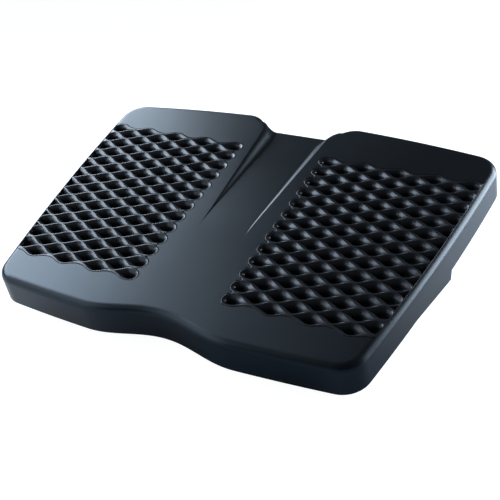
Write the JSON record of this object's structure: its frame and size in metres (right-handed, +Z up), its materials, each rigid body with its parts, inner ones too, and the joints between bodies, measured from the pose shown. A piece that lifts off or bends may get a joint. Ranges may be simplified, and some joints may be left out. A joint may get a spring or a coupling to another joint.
{
  "type": "tilting footrest",
  "caption": "Under-desk footrest: a wide two-lobed platform with ribbed open treads tilts on a shaft carried by height-adjustable posts in a low frame",
  "frame": {"origin": "on the floor, below the middle of the whole object", "axes": "+X to the right of someone facing its front edge, +Y to the raised back, +Z up"},
  "size_m": [0.4492, 0.318, 0.1535],
  "materials": {
    "shell_plastic": "satin moulded plastic, blue-black",
    "tread_plastic": "smooth black plastic",
    "frame_plastic": "fine-grained black plastic",
    "screw_steel": "zinc-plated steel",
    "spring_steel": "tempered spring steel",
    "washer_fibre": "grey friction disc",
    "foot_rubber": "matt black rubber"
  },
  "bodies": {
    "base": {"left_leg": "frame_plastic", "right_leg": "frame_plastic", "front_cross_bar": "frame_plastic", "rear_cross_bar": "frame_plastic", "front_left_foot": "foot_rubber", "front_right_foot": "foot_rubber", "rear_left_foot": "foot_rubber", "rear_right_foot": "foot_rubber", "front_left_bar_screw": "screw_steel", "front_right_bar_screw": "screw_steel", "rear_left_bar_screw": "screw_steel", "rear_right_bar_screw": "screw_steel", "left_detent_spring": "spring_steel", "right_detent_spring": "spring_steel", "left_spring_screw": "screw_steel", "right_spring_screw": "screw_steel"},
    "carriage": {"pivot_shaft": "screw_steel", "left_post": "frame_plastic", "right_post": "frame_plastic", "left_friction_washer_1": "washer_fibre", "left_friction_washer_2": "washer_fibre", "right_friction_washer_1": "washer_fibre", "right_friction_washer_2": "washer_fibre", "left_retaining_ring": "spring_steel", "right_retaining_ring": "spring_steel"},
    "platform": {"platform_shell": "shell_plastic", "left_tread": "tread_plastic", "right_tread": "tread_plastic", "left_pivot_beam": "frame_plastic", "right_pivot_beam": "frame_plastic", "left_beam_screw_1": "screw_steel", "left_beam_screw_2": "screw_steel", "left_beam_screw_3": "screw_steel", "left_beam_screw_4": "screw_steel", "right_beam_screw_1": "screw_steel", "right_beam_screw_2": "screw_steel", "right_beam_screw_3": "screw_steel", "right_beam_screw_4": "screw_steel"}
  },
  "joints": [
    {"name": "height_lift", "type": "slide", "parent": "base", "child": "carriage", "axis": [0, 0, 1], "range_m": [0, 0.026], "deforming": ["left_detent_spring", "right_detent_spring"]},
    {"name": "platform_tilt", "type": "hinge", "parent": "carriage", "child": "platform", "pos_m": [0, 0.00685, 0.07432], "axis": [1, 0, 0], "range_deg": [-25, 2]}
  ]
}
